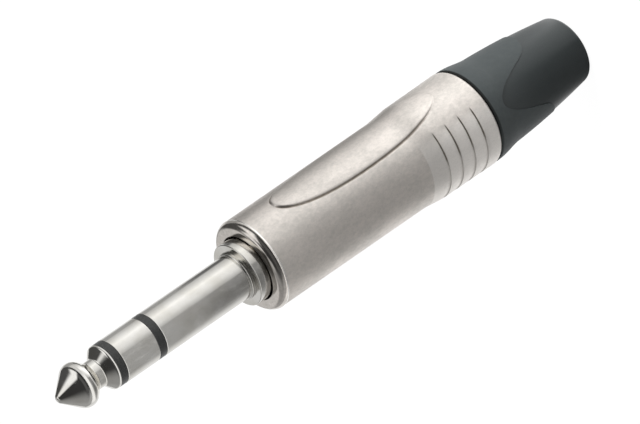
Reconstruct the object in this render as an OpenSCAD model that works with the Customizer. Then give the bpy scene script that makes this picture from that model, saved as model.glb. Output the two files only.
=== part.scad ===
// Three-pole quarter-inch audio jack plug, in millimetres.
// It stands on the rear end of its screw bushing: +Z runs up the axis and the tip points up.
// The raised oval fields face -Y and +Y, and the grip ribs face -X and +X.

/* [Plug finger] */
// Diameter of the sleeve and the ring
finger_d = 6.35; // [5.8:0.05:7.7]
// From the front face of the collar to the point of the tip
finger_len = 30.8; // [28:0.1:38]
// Length of the tip contact, up to the front insulator
tip_len = 8.2; // [7.8:0.1:9.9]
// Largest diameter of the tip
tip_d = 6.3; // [5.8:0.05:6.8]
// Diameter of the neck behind the tip, where the jack's spring snaps in
neck_d = 3.9; // [3.5:0.1:4.6]
// Radius of the nose
nose_r = 0.87; // [0.6:0.01:1.1]
// Half angle of the tip's cone
tip_half_angle = 41; // [38:1:46]
// Width of the front insulator band
tip_insulator_w = 1.1; // [0.8:0.1:1.6]
// Length of the ring contact
ring_len = 5.4; // [4:0.1:7]
// Width of the rear insulator band
ring_insulator_w = 1.2; // [0.8:0.1:1.6]
// Height of the bead at the foot of the sleeve
bead_proud = 0.225; // [0.1:0.005:0.4]
// Length of that bead
bead_len = 0.5; // [0.4:0.05:0.8]

/* [Contact stack] */
// Diameter of the tip contact's rod
rod_d = 2; // [1.6:0.1:2.4]
// Wall of each insulating tube
insulator_wall = 0.38; // [0.3:0.01:0.46]
// Wall of the ring contact's tube
ring_tube_wall = 0.48; // [0.4:0.01:0.6]
// Radial gap between one tube and the next
tube_gap = 0.02; // [0.01:0.01:0.03]
// Wall of the hub that the sleeve lug is staked on
hub_wall = 1.1; // [0.8:0.1:1.3]
// Length of that hub
hub_len = 0.8; // [0.6:0.1:1.2]
// Thickness of the insulating washers between the lugs
washer_t = 1.25; // [0.8:0.05:1.8]
// Reach of the ring contact's rolled lip over its lug
lip_reach = 0.4; // [0.3:0.05:0.6]
// Reach of the rod's riveted end over its lug
rivet_reach = 0.7; // [0.4:0.05:0.9]

/* [Solder lugs] */
// Thickness of a lug
lug_t = 0.45; // [0.3:0.05:0.6]
// Reach of a lug's ring past the lip or the rivet that holds it
lug_reach = 0.9; // [0.5:0.1:1.1]
// Length of the sleeve lug's tail
sleeve_tail_len = 16; // [10:0.5:20]
// Width of the sleeve lug's tail
sleeve_tail_w = 2.8; // [2:0.1:3.4]
// Length of the ring lug's and the tip lug's tails
inner_tail_len = 9; // [6:0.5:12]
// Width of those two tails
inner_tail_w = 2.4; // [1.8:0.1:2.8]
// Diameter of the solder holes
solder_hole_d = 1.2; // [0.8:0.1:1.4]
// Gap between the guard tube and the sleeve lug
lug_gap = 0.2; // [0.1:0.05:0.3]

/* [Collar and flange] */
// Diameter of the collar that shows in front of the shell
collar_d = 9; // [8.6:0.02:9.6]
// How far the collar stands out of the shell
collar_proud = 1.8; // [1:0.05:2.6]
// Thickness of the flange behind the shell's front wall
flange_t = 2.2; // [1.6:0.1:3]

/* [Shell] */
// Length of the shell
shell_len = 39.1; // [32:0.1:48]
// Diameter at the front
shell_d = 13.04; // [12.8:0.02:15.8]
// Growth in diameter from the front to the start of the grip
shell_taper = 0.24; // [0:0.02:0.4]
// Further growth in diameter over the flare
grip_flare = 0.7; // [0.3:0.05:1]
// Further growth in diameter to the rear rim
rim_growth = 0.2; // [0:0.05:0.5]
// Length of the grip, from the start of the flare to the rear rim
grip_len = 13; // [12:0.1:16]
// Length of the flare
flare_len = 3.9; // [3:0.1:4.5]
// Rounding of the front edge
front_round = 1.05; // [0.4:0.05:1.2]
// Rounding of the rear rim
rim_round = 0.45; // [0.2:0.05:0.5]
// Thickness of the front wall
front_wall = 1.75; // [1.2:0.05:2.4]
// Wall around the bore, at the front
bore_wall = 1.12; // [0.8:0.02:1.2]
// Gap around the collar in the front wall
collar_gap = 0.2; // [0.1:0.05:0.3]
// Depth of the keyway in the bore
keyway_depth = 0.4; // [0.3:0.05:0.45]
// Width of the keyway
keyway_w = 1.6; // [1:0.1:2.4]

/* [Raised ovals] */
// From the front face to an oval's front end
oval_to_face = 5.8; // [4:0.1:8]
// From an oval's rear end to the rear rim
oval_to_rim = 5.1; // [4:0.1:9]
// Half the angle that an oval covers round the shell
oval_half_angle = 31.5; // [20:0.5:40]
// Height of an oval above the shell
oval_height = 0.2; // [0.06:0.01:0.25]
// How much fuller the front end is than the rear end
oval_skew = 0.04; // [0:0.01:0.25]
// How square the ovals' ends are: 2 is an ellipse
oval_power = 2.2; // [2:0.1:3]

/* [Grip ribs] */
// Number of steps
rib_count = 4; // [2:1:4]
// Distance from one step to the next
rib_pitch = 2.25; // [1.8:0.05:2.3]
// Distance from the last step to the rear rim
rib_to_rim = 2.6; // [2.4:0.1:3.2]
// Height of a step at its middle
rib_depth = 0.16; // [0.08:0.01:0.2]
// Half the angle over which a step would fade out
rib_half_angle = 70; // [56:1:80]
// Half the angle round the shell at which the steps end
rib_end_angle = 52; // [40:1:54]

/* [Screw joint] */
// Wall of the shell around the thread, at the rear rim
thread_wall = 1.1; // [0.95:0.01:1.2]
// Radial running gap of the screw joint
thread_gap = 0.08; // [0.05:0.01:0.1]
// Length of the threaded bore in the shell
thread_len = 8.55; // [7:0.05:10.3]
// Room in front of the tightened spigot
spigot_end_gap = 0.7; // [0.4:0.05:1]
// Wall of the bushing's threaded spigot
spigot_wall = 0.86; // [0.75:0.01:0.95]
// Gap between the rear rim and the tightened bushing
rim_gap = 0.1; // [0.05:0.05:0.3]

/* [Bushing and gland] */
// Length of the bushing behind the shell, with its gland
bushing_len = 18.8; // [15.6:0.05:22.6]
// Diameter of the cable hole
cable_d = 7.2; // [5.8:0.1:8.6]
// Wall of the gland at its rear end
gland_wall = 1.22; // [1:0.02:1.5]
// How far the gland's front end lies inside the shell's rear rim
gland_drop = 0.62; // [0.5:0.01:0.9]
// How much the gland's side bows outward
gland_bow = 0.9; // [0.6:0.01:1.2]
// Rounding of the rear end
rear_round = 0.8; // [0.3:0.05:0.85]
// Height of the bushing's petals above the gland
petal_proud = 0.13; // [0.05:0.01:0.25]
// Thickness of the petals
petal_t = 1.1; // [0.8:0.05:1.2]
// Length of the flare from the petals up to the front rim
skin_flare_len = 4; // [2:0.5:6]
// Length of the straight land between that flare and the front rim
rim_land = 0.6; // [0:0.1:1]
// Step from the shell's rear rim in to the bushing's front rim
rim_step = 0.05; // [0:0.01:0.2]
// Length of the U notches between the petals
notch_len = 9.3; // [7:0.1:10.9]
// Distance from the bushing's front rim to the end of a notch
notch_offset = 2.1; // [1.2:0.1:2.6]
// Width of a notch one millimetre from its end, halved
notch_width = 1.38; // [1:0.02:1.6]
// Direction of one notch round the axis, in degrees
notch_turn = -148; // [-180:1:180]

/* [Chuck] */
// Radial gap between the chuck and what it slides in
chuck_gap = 0.1; // [0.05:0.01:0.1]
// Wall of the guard tube around the solder lugs
guard_wall = 0.6; // [0.5:0.05:0.7]
// Length of the ring between the guard and the jaws
chuck_ring_len = 3.6; // [2.5:0.1:5]
// Number of jaws
jaw_count = 6; // [4:1:8]
// Width of the slots between the jaws
slot_w = 0.9; // [0.6:0.1:1.2]
// Thickness of the jaws at their rear ends
jaw_tip_t = 0.6; // [0.5:0.05:0.7]
// Length of the taper that the bushing squeezes
taper_len = 6; // [4:0.5:7.2]
// Reach of that taper into the spigot
taper_reach = 0.95; // [0.5:0.05:1.5]
// Depth of the teeth in the jaws
tooth_depth = 0.3; // [0.15:0.05:0.4]
// Distance from one tooth to the next
tooth_pitch = 1.25; // [1:0.05:2]

/* [Hidden] */
$fn = 96;
// Overlap that lets one cut run clean through another
cut = 0.5;
// Gap between faces that bear on each other
seat_gap = 0.05;
// Gap at the line where the soft gland is bonded to the hard bushing
bond_gap = 0.03;
// Directions of the three lugs' tails round the axis
sleeve_tail_turn = -60;
ring_tail_turn = 180;
tip_tail_turn = 60;

// Heights of the shell and the finger, from the bushing's rear end up to the point of the tip
rim_z = bushing_len + rim_gap;
face_z = rim_z + shell_len;
collar_z = face_z + collar_proud;
tip_z = collar_z + finger_len;
tip_back_z = tip_z - tip_len;
ring_front_z = tip_back_z - tip_insulator_w;
ring_back_z = ring_front_z - ring_len;
sleeve_front_z = ring_back_z - ring_insulator_w;

// Heights of the contact stack, from the shell's front wall down to the rivet
wall_back_z = face_z - front_wall;
flange_back_z = wall_back_z - flange_t;
hub_back_z = flange_back_z - hub_len;
ring_lug_top_z = hub_back_z - washer_t;
lip_top_z = ring_lug_top_z - lug_t;
lip_back_z = lip_top_z - lug_t;
tip_lug_top_z = lip_back_z - washer_t;
rivet_top_z = tip_lug_top_z - lug_t;
rivet_back_z = rivet_top_z - lug_t;

// Radii of the concentric contacts, from the rod outwards
finger_r = finger_d / 2;
rod_r = rod_d / 2;
tip_tube_in_r = rod_r + tube_gap;
tip_tube_r = tip_tube_in_r + insulator_wall;
ring_tube_in_r = tip_tube_r + tube_gap;
ring_tube_r = ring_tube_in_r + ring_tube_wall;
ring_sleeve_in_r = ring_tube_r + tube_gap;
ring_sleeve_r = ring_sleeve_in_r + insulator_wall;
sleeve_bore_r = ring_sleeve_r + tube_gap;
hub_r = sleeve_bore_r + hub_wall;
lip_r = ring_tube_r + lip_reach;
rivet_r = rod_r + rivet_reach;

// Radii of the shell's bores, and of what slides and screws in them
collar_r = collar_d / 2;
bore_r = shell_d / 2 - bore_wall;
flange_r = bore_r - chuck_gap;
guard_in_r = flange_r - guard_wall;
rim_r = shell_d / 2 + (shell_taper + grip_flare + rim_growth) / 2;
thread_r = rim_r - thread_wall;
spigot_r = thread_r - thread_gap;
spigot_bore_r = spigot_r - spigot_wall;
cable_r = cable_d / 2;

// How far out the tails of the lugs lie, and the washers that fit between them
sleeve_tail_r = guard_in_r - 2 * lug_gap;
ring_tail_r = sleeve_tail_r - lug_t - lug_gap;
tip_tail_r = ring_tail_r - lug_t - 3 * lug_gap;
front_washer_r = sleeve_tail_r - lug_t - lug_gap;
rear_washer_r = ring_tail_r - lug_t - lug_gap;

// Grip: where the flare starts and ends, where the steps stand, and the shift that makes them fade out
flare_z = rim_z + grip_len;
flare_back_z = flare_z - flare_len;
rib_run_out = 0.4;
ribs_z = [for (i = [0:rib_count - 1]) rim_z + rib_to_rim + i * rib_pitch];
rib_shift = rib_depth / (1 - cos(rib_half_angle));

// Ovals: their length and the height of their middle
oval_len = shell_len - oval_to_face - oval_to_rim;
oval_z = rim_z + oval_to_rim + oval_len / 2;

// Screw joint and chuck, from the jaws' seat up to the guard's front edge
thread_top_z = rim_z + thread_len;
spigot_top_z = thread_top_z - spigot_end_gap;
chuck_ring_z = thread_top_z + 0.2;
guard_z = chuck_ring_z + chuck_ring_len;
guard_top_z = flange_back_z - chuck_gap;
taper_top_z = bushing_len + taper_reach;
jaw_end_z = taper_top_z - taper_len;
jaw_r = spigot_bore_r - chuck_gap;
jaw_end_r = cable_r + jaw_tip_t;
key_w = keyway_w - 2 * chuck_gap;
key_r = bore_r + keyway_depth - chuck_gap;

// Bushing: the floor under the jaws, the U notches and the petals
jaw_room = 0.6;
floor_t = 0.9;
seat_bottom_z = jaw_end_z - jaw_room;
core_bottom_z = seat_bottom_z - floor_t;
notch_top_z = bushing_len - notch_offset;
petal_z = notch_top_z - notch_len;
gland_rear_r = cable_r + gland_wall;
gland_front_r = rim_r - gland_drop;

// Points of an arc, counted in steps
function arc(x, y, r, a0, a1, steps = 6) =
    [for (i = [0:steps]) let (a = a0 + (a1 - a0) * i / steps) [x + r * cos(a), y + r * sin(a)]];

// Heights at which a tapering outline has its points
function heights(z0, z1, steps) = [for (i = [0:steps]) z0 + (z1 - z0) * i / steps];

// A number kept between 0 and 1
function share(t) = max(0, min(1, t));

// A step from 0 to 1 with level ends
function ease(t) = let (u = share(t)) u * u * (3 - 2 * u);

// Radius of the shell at height z, without ovals and ribs
function shell_r(z) = shell_d / 2
    + shell_taper / 2 * share((face_z - z) / (face_z - flare_z))
    + grip_flare / 2 * ease((flare_z - z) / flare_len)
    + rim_growth / 2 * share((flare_back_z - z) / (flare_back_z - rim_z));

// Radius of the gland at height z, a shallow parabola
function gland_r(z) = let (u = z / bushing_len)
    gland_rear_r + (gland_front_r - gland_rear_r) * ((1 + gland_bow) * u - gland_bow * u * u);

// Radius of the bushing's skin over the gland, which flares to meet the shell
function skin_r(z) = gland_r(z) + petal_proud
    + (gland_drop - petal_proud - rim_step) * ease((z - bushing_len + rim_land) / skin_flare_len + 1);

// Radius of the bushing's core, which the gland and the petals lie on
function core_r(z) = skin_r(z) - petal_t;

// Outline of the shell from the axis out, with its front edge and rear rim rounded
function shell_outline(grow = 0) = let (
        front_r = shell_r(face_z - front_round) + grow,
        back_r = shell_r(rim_z + rim_round) + grow)
    concat([[0, rim_z]],
           arc(back_r - rim_round, rim_z + rim_round, rim_round, -90, 0, 4),
           [for (z = heights(rim_z + 2 * rim_round, flare_back_z, 2)) [shell_r(z) + grow, z]],
           [for (z = heights(flare_back_z + flare_len / 6, flare_z, 5)) [shell_r(z) + grow, z]],
           arc(front_r - front_round, face_z - front_round, front_round, 0, 90),
           [[0, face_z]]);

// One ring of the step pattern: it deepens towards the step, and its axis is shifted so that it fades out
module rib_cutter(from_z, step_z, side) {
    translate([-side * rib_shift, 0, 0])
        rotate_extrude()
            polygon([[shell_r(from_z) + rib_shift, from_z],
                     [shell_r(step_z) - rib_depth + rib_shift, step_z],
                     [shell_d, step_z],
                     [shell_d, from_z]]);
}

// Outline of an oval, as chords across the shell against height
module oval_outline() {
    steps = 32;
    edge = [for (i = [0:steps]) let (
                t = -cos(180 * i / steps),
                a = oval_half_angle * pow(max(0, 1 - pow(abs(t), oval_power)), 1 / oval_power)
                    * (1 - oval_skew * t))
            [shell_d / 2 * sin(a), oval_z - t * oval_len / 2]];
    polygon(concat(edge, [for (i = [steps - 1:-1:1]) [-edge[i][0], edge[i][1]]]));
}

// A wedge round the -X or the +X side, which the steps keep to
module rib_sector(side) {
    reach = shell_d;
    translate([0, 0, rim_z])
        linear_extrude(grip_len)
            polygon([[0, 0],
                     [side * reach * cos(rib_end_angle), -reach * sin(rib_end_angle)],
                     [side * 2 * reach, 0],
                     [side * reach * cos(rib_end_angle), reach * sin(rib_end_angle)]]);
}

// A straight key or keyway along the bore, on the -X side
module key(width, reach, z0, z1) {
    translate([-reach, -width / 2, z0]) cube([reach, width, z1 - z0]);
}

module shell() {
    below_z = rim_z - cut;
    color("silver") difference() {
        union() {
            rotate_extrude() polygon(shell_outline());
            for (side = [0, 180])
                intersection() {
                    rotate_extrude() polygon(shell_outline(oval_height));
                    rotate([90, 0, side]) linear_extrude(shell_d) oval_outline();
                }
        }
        for (side = [-1, 1], i = [0:rib_count - 1])
            intersection() {
                rib_cutter(i < rib_count - 1 ? ribs_z[i + 1] : flare_z - rib_run_out, ribs_z[i], side);
                rib_sector(side);
            }
        translate([0, 0, below_z]) cylinder(h = shell_len + 2 * cut, r = collar_r + collar_gap);
        translate([0, 0, below_z]) cylinder(h = wall_back_z - below_z, r = bore_r);
        translate([0, 0, below_z]) cylinder(h = thread_top_z - below_z, r = thread_r);
        key(keyway_w, bore_r + keyway_depth, thread_top_z - cut, wall_back_z);
    }
}

// Turned in one piece: barrel, bead, collar, flange with its key, and the hub that the lug is staked on
module sleeve_contact() {
    edge = 0.15;
    flange_top_z = wall_back_z - seat_gap;
    bead_z = collar_z + bead_len;
    color("silver") difference() {
        union() {
            rotate_extrude() polygon(concat(
                [[0, hub_back_z], [hub_r, hub_back_z], [hub_r, flange_back_z], [flange_r, flange_back_z],
                 [flange_r, flange_top_z], [collar_r, flange_top_z]],
                arc(collar_r - edge, collar_z - edge, edge, 0, 90, 3),
                [[finger_r + bead_proud, collar_z]],
                arc(finger_r + bead_proud - edge, bead_z - edge, edge, 0, 90, 3),
                [[finger_r, bead_z], [finger_r, sleeve_front_z], [0, sleeve_front_z]]));
            key(key_w, key_r, flange_back_z, flange_top_z);
        }
        translate([0, 0, hub_back_z - cut])
            cylinder(h = sleeve_front_z - hub_back_z + 2 * cut, r = sleeve_bore_r);
    }
}

// A band that shows between two contacts, moulded on a tube that lines them
module insulator(band_z, band_w, tube_r, bore_r, tube_back_z) {
    color([0.12, 0.12, 0.13]) difference() {
        union() {
            translate([0, 0, band_z]) cylinder(h = band_w, r = finger_r);
            translate([0, 0, tube_back_z]) cylinder(h = band_z - tube_back_z + cut, r = tube_r);
        }
        translate([0, 0, tube_back_z - cut])
            cylinder(h = band_z + band_w - tube_back_z + 2 * cut, r = bore_r);
    }
}

module ring_insulator() {
    insulator(sleeve_front_z, ring_insulator_w, ring_sleeve_r, ring_sleeve_in_r, ring_lug_top_z);
}

module tip_insulator() {
    insulator(ring_front_z, tip_insulator_w, tip_tube_r, tip_tube_in_r, tip_lug_top_z);
}

// The ring band on its tube, with the rear end rolled out over the ring lug
module ring_contact() {
    color("silver") difference() {
        union() {
            translate([0, 0, ring_back_z]) cylinder(h = ring_len, r = finger_r);
            translate([0, 0, lip_back_z]) cylinder(h = ring_back_z - lip_back_z + cut, r = ring_tube_r);
            translate([0, 0, lip_back_z]) cylinder(h = lug_t, r = lip_r);
        }
        translate([0, 0, lip_back_z - cut])
            cylinder(h = ring_front_z - lip_back_z + 2 * cut, r = ring_tube_in_r);
    }
}

// Nose, cone, crown, neck and bell, with the rod and its riveted end
module tip_contact() {
    crown_r = tip_d / 2;
    neck_r = neck_d / 2;
    crown_blend = 1.5;
    crown_w = 0.08;
    crown_edge = 1.2;
    back_angle = 42;
    fillet = 0.3;
    bell_angle = 47;
    bell_edge = 0.4;
    bell_rim_w = 0.16;
    rivet_edge = 0.35;
    // Depths below the point of the tip, from front to rear
    nose_depth = nose_r * (1 - sin(tip_half_angle));
    cone_end_r = crown_r - crown_blend * (1 - cos(tip_half_angle));
    cone_end_depth = nose_depth + (cone_end_r - nose_r * cos(tip_half_angle)) / tan(tip_half_angle);
    crown_depth = cone_end_depth + crown_blend * sin(tip_half_angle);
    crown_back = crown_depth + crown_w;
    back_drop = crown_r - neck_r - (crown_edge + fillet) * (1 - cos(back_angle));
    neck_depth = crown_back + (crown_edge + fillet) * sin(back_angle) + back_drop / tan(back_angle);
    bell_rise = crown_r - neck_r - (bell_edge + fillet) * (1 - cos(bell_angle));
    bell_depth = tip_len - bell_rim_w - (bell_edge + fillet) * sin(bell_angle) - bell_rise / tan(bell_angle);
    color("silver")
        rotate_extrude() polygon(concat(
            arc(0, tip_z - nose_r, nose_r, 90, tip_half_angle, 5),
            arc(crown_r - crown_blend, tip_z - crown_depth, crown_blend, tip_half_angle, 0, 4),
            arc(crown_r - crown_edge, tip_z - crown_back, crown_edge, 0, -back_angle, 3),
            arc(neck_r + fillet, tip_z - neck_depth, fillet, 180 - back_angle, 180, 3),
            arc(neck_r + fillet, tip_z - bell_depth, fillet, 180, 180 + bell_angle, 3),
            arc(crown_r - bell_edge, tip_back_z + bell_rim_w, bell_edge, bell_angle, 0, 3),
            [[crown_r, tip_back_z], [rod_r, tip_back_z], [rod_r, rivet_top_z], [rivet_r, rivet_top_z]],
            arc(rivet_r - rivet_edge, rivet_back_z + rivet_edge, rivet_edge, 0, -90, 3),
            [[0, rivet_back_z]]));
}

// A stamped lug: a ring on the stack and a tail bent back at one side, with a round end and a solder hole
module lug(top_z, ring_r, hole_r, tail_r, tail_w, tail_len, turn) {
    back_z = top_z - lug_t;
    end_z = top_z - tail_len + tail_w / 2;
    color("khaki") rotate([0, 0, turn]) difference() {
        union() {
            translate([0, 0, back_z]) cylinder(h = lug_t, r = ring_r);
            translate([0, -tail_w / 2, back_z]) cube([tail_r, tail_w, lug_t]);
            translate([tail_r - lug_t, -tail_w / 2, end_z]) cube([lug_t, tail_w, top_z - end_z]);
            translate([tail_r - lug_t, 0, end_z]) rotate([0, 90, 0]) cylinder(h = lug_t, d = tail_w);
        }
        translate([0, 0, back_z - cut]) cylinder(h = lug_t + 2 * cut, r = hole_r);
        translate([tail_r - lug_t - cut, 0, end_z])
            rotate([0, 90, 0]) cylinder(h = lug_t + 2 * cut, d = solder_hole_d);
    }
}

module sleeve_lug() {
    lug(flange_back_z, guard_in_r - lug_gap, hub_r + tube_gap, sleeve_tail_r, sleeve_tail_w,
        sleeve_tail_len, sleeve_tail_turn);
}

module ring_lug() {
    lug(ring_lug_top_z, lip_r + lug_reach, ring_tube_r + tube_gap, ring_tail_r, inner_tail_w,
        inner_tail_len, ring_tail_turn);
}

module tip_lug() {
    lug(tip_lug_top_z, rivet_r + lug_reach, rod_r + tube_gap, tip_tail_r, inner_tail_w,
        inner_tail_len, tip_tail_turn);
}

// A punched washer that keeps two lugs apart
module lug_washer(top_z, outer_r, inner_r) {
    color([0.15, 0.14, 0.13]) difference() {
        translate([0, 0, top_z - washer_t]) cylinder(h = washer_t, r = outer_r);
        translate([0, 0, top_z - washer_t - cut]) cylinder(h = washer_t + 2 * cut, r = inner_r);
    }
}

module front_lug_washer() {
    lug_washer(hub_back_z, front_washer_r, ring_sleeve_r + tube_gap);
}

module rear_lug_washer() {
    lug_washer(lip_back_z, rear_washer_r, tip_tube_r + tube_gap);
}

// Slots between the jaws, open at their rear ends
module jaw_slots() {
    slot_z = jaw_end_z - cut;
    web = 1;
    for (i = [0:jaw_count - 1])
        rotate([0, 0, (i + 0.5) * 360 / jaw_count])
            translate([0, -slot_w / 2, slot_z]) cube([bore_r, slot_w, chuck_ring_z - web - slot_z]);
}

// Moulded in one piece: half-round guard, ring with its key, and the toothed jaws
module chuck() {
    tooth_tip = 0.15;
    plain_len = 2;
    tooth_count = floor((chuck_ring_z - plain_len - jaw_end_z) / tooth_pitch);
    teeth = [for (i = [tooth_count:-1:0], top = [1, 0])
        [cable_r - (1 - top) * tooth_depth, jaw_end_z + i * tooth_pitch + top * (tooth_pitch - tooth_tip)]];
    mouth = min(0.6, (guard_in_r - cable_r) / 2);
    open_x = 1.2;
    open_z = guard_z + 1;
    color("ivory") difference() {
        union() {
            rotate_extrude() polygon(concat(
                [[jaw_end_r, jaw_end_z], [jaw_r, taper_top_z], [jaw_r, chuck_ring_z],
                 [flange_r, chuck_ring_z], [flange_r, guard_top_z],
                 [guard_in_r, guard_top_z], [guard_in_r, guard_z],
                 [cable_r + mouth, guard_z], [cable_r, guard_z - mouth]],
                teeth));
            difference() {
                key(key_w, key_r, chuck_ring_z, guard_top_z);
                translate([0, 0, chuck_ring_z - cut])
                    cylinder(h = guard_top_z - chuck_ring_z + 2 * cut, r = flange_r - guard_wall / 2);
            }
        }
        jaw_slots();
        translate([open_x, -bore_r, open_z]) cube([bore_r, 2 * bore_r, guard_top_z + cut - open_z]);
    }
}

// Outline of a U notch, as chords across the bushing against height
module notch_outline(shrink = 0) {
    steps = 28;
    full_r = skin_r(petal_z) + 2 * seat_gap;
    corner = full_r - notch_width * sqrt(notch_len);
    edge = [for (i = [0:steps]) let (
                depth = notch_len * (1 - cos(180 * i / steps)) / 2,
                half = notch_width * sqrt(depth) + corner * pow(depth / notch_len, 12))
            [max(0, half - shrink), notch_top_z - depth - shrink]];
    polygon(concat(edge, [for (i = [steps:-1:1]) [-edge[i][0], edge[i][1]]]));
}

// Both notches as prisms that reach from the axis out through the wall
module notches(shrink = 0) {
    for (side = [0, 180])
        rotate([90, 0, notch_turn + 90 + side]) linear_extrude(rim_r) notch_outline(shrink);
}

// Hard part of the bushing: threaded spigot, cone that squeezes the jaws, and two petals over the gland
module bushing() {
    chamfer = 0.5;
    rim_edge = 0.15;
    shoulder_t = 0.3;
    bite = 0.1;
    shoulder_z = bushing_len - shoulder_t;
    seat_r = jaw_end_r + chuck_gap;
    color([0.33, 0.35, 0.36]) union() {
        rotate_extrude() polygon(concat(
            [[cable_r, core_bottom_z]],
            [for (z = heights(core_bottom_z, shoulder_z - shoulder_t, 5)) [core_r(z), z]],
            [[core_r(bushing_len), shoulder_z], [spigot_r, shoulder_z],
             [spigot_r, spigot_top_z - chamfer], [spigot_r - chamfer, spigot_top_z],
             [spigot_bore_r, spigot_top_z], [spigot_bore_r, taper_top_z],
             [seat_r, jaw_end_z], [seat_r, seat_bottom_z], [cable_r, seat_bottom_z]]));
        difference() {
            rotate_extrude() polygon(concat(
                [for (z = heights(petal_z, bushing_len - rim_edge, 12)) [skin_r(z), z]],
                [[skin_r(bushing_len) - rim_edge, bushing_len],
                 [core_r(bushing_len) - 2 * bite, bushing_len]],
                [for (z = heights(shoulder_z, core_bottom_z + bite, 5)) [core_r(z) - bite, z]],
                [for (z = heights(core_bottom_z, petal_z, 3)) [core_r(z), z]]));
            notches();
        }
    }
}

// Soft part: it fills the notches, lies under the petals and forms the rear end with its cable hole
module gland() {
    lead_in = 0.25;
    bite = 0.2;
    top_z = core_bottom_z - bond_gap;
    tongue_z = petal_z - rear_round;
    color([0.16, 0.18, 0.19]) union() {
        rotate_extrude() polygon(concat(
            [[cable_r + lead_in, 0]],
            arc(gland_r(rear_round) - rear_round, rear_round, rear_round, -90, 0, 5),
            [for (z = heights(2 * rear_round, petal_z - bond_gap, 5)) [gland_r(z), z]],
            [for (z = heights(petal_z, top_z, 3)) [core_r(z) - bond_gap, z]],
            [[cable_r, top_z], [cable_r, lead_in]]));
        intersection() {
            rotate_extrude() polygon(concat(
                [for (z = heights(tongue_z, notch_top_z, 7)) [gland_r(z), z]],
                [for (z = heights(notch_top_z, core_bottom_z, 3)) [core_r(z) + bond_gap, z]],
                [for (z = heights(top_z, tongue_z, 3)) [core_r(z) - bite, z]]));
            notches(bond_gap);
        }
    }
}

shell();
sleeve_contact();
ring_insulator();
ring_contact();
tip_insulator();
tip_contact();
sleeve_lug();
front_lug_washer();
ring_lug();
rear_lug_washer();
tip_lug();
chuck();
bushing();
gland();
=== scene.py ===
import math

import bmesh
import bpy
import numpy as np
from mathutils import Matrix, Vector


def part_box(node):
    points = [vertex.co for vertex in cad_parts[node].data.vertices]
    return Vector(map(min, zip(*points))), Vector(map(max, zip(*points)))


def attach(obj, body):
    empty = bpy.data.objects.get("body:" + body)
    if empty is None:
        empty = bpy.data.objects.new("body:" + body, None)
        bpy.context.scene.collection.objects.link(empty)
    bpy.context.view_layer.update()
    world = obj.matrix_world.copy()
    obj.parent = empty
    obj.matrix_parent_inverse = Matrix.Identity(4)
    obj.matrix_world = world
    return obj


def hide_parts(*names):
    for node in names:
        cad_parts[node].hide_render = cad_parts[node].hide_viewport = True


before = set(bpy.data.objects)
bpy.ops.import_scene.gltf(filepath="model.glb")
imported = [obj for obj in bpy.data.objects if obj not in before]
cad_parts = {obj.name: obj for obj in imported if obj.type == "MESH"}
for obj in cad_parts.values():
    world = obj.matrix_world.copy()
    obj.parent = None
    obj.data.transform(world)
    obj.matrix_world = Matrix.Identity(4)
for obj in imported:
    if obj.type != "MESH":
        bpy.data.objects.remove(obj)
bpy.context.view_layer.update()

# The tip contact is turned from brass bar and nickel plated: nose, cone, crown, the neck that the
# jack's spring snaps into, and a bell that ends flush with the barrel. Its rod runs back through
# the whole stack and is riveted over the last solder lug. All lengths of pieces are in millimetres.


def ends(node):
    """Heights of the lowest and the highest point of a piece of the frame."""
    low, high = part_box(node)
    return round(low.z * 1000, 3), round(high.z * 1000, 3)


rivet_back_z, tip_z = ends("tip_contact")
tip_back_z = ends("tip_insulator")[1]
nose_r = 0.87
cone_angle = 41
crown_r = 3.15
crown_blend = 1.5
crown_flat = 0.08
crown_edge = 1.2
back_angle = 42
neck_r = 1.95
fillet = 0.3
bell_angle = 47
bell_edge = 0.4
bell_rim = 0.16
bell_chamfer = 0.05
rod_r = 1.0
rivet_r = 1.7
rivet_len = 0.45
rivet_round = 0.35


def arc(r, z, radius, start, end, steps):
    """Points of an arc in an outline, as radius and height, between two angles in degrees."""
    turns = [math.radians(start + (end - start) * i / steps) for i in range(steps + 1)]
    return [(r + radius * math.cos(a), z + radius * math.sin(a)) for a in turns]


def slope_len(curve, angle):
    """Length of a slope between the crown's radius and the neck's, with an arc at each end."""
    turn = math.radians(angle)
    drop = crown_r - neck_r - curve * (1 - math.cos(turn))
    return curve * math.sin(turn) + drop / math.tan(turn)


cone_turn = math.radians(cone_angle)
cone_drop = crown_r - crown_blend * (1 - math.cos(cone_turn)) - nose_r * math.cos(cone_turn)
cone_len = nose_r * (1 - math.sin(cone_turn)) + cone_drop / math.tan(cone_turn)
crown_z = tip_z - cone_len - crown_blend * math.sin(cone_turn)
crown_back_z = crown_z - crown_flat
neck_z = crown_back_z - slope_len(crown_edge + fillet, back_angle)
bell_back_z = tip_back_z + bell_rim
bell_z = bell_back_z + slope_len(bell_edge + fillet, bell_angle)
tip_outline = (
    [(0, tip_z)] + arc(0, tip_z - nose_r, nose_r, 88, cone_angle, 10)
    + arc(crown_r - crown_blend, crown_z, crown_blend, cone_angle, 0, 8)
    + arc(crown_r - crown_edge, crown_back_z, crown_edge, 0, -back_angle, 6)
    + arc(neck_r + fillet, neck_z, fillet, 180 - back_angle, 180, 6)
    + arc(neck_r + fillet, bell_z, fillet, 180, 180 + bell_angle, 6)
    + arc(crown_r - bell_edge, bell_back_z, bell_edge, bell_angle, 0, 6)
    + [(crown_r, tip_back_z + bell_chamfer), (crown_r - bell_chamfer, tip_back_z), (rod_r, tip_back_z),
       (rod_r, rivet_back_z + rivet_len), (rivet_r, rivet_back_z + rivet_len)]
    + arc(rivet_r - rivet_round, rivet_back_z + rivet_round, rivet_round, 0, -90, 6)
    + [(0, rivet_back_z)])


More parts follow.
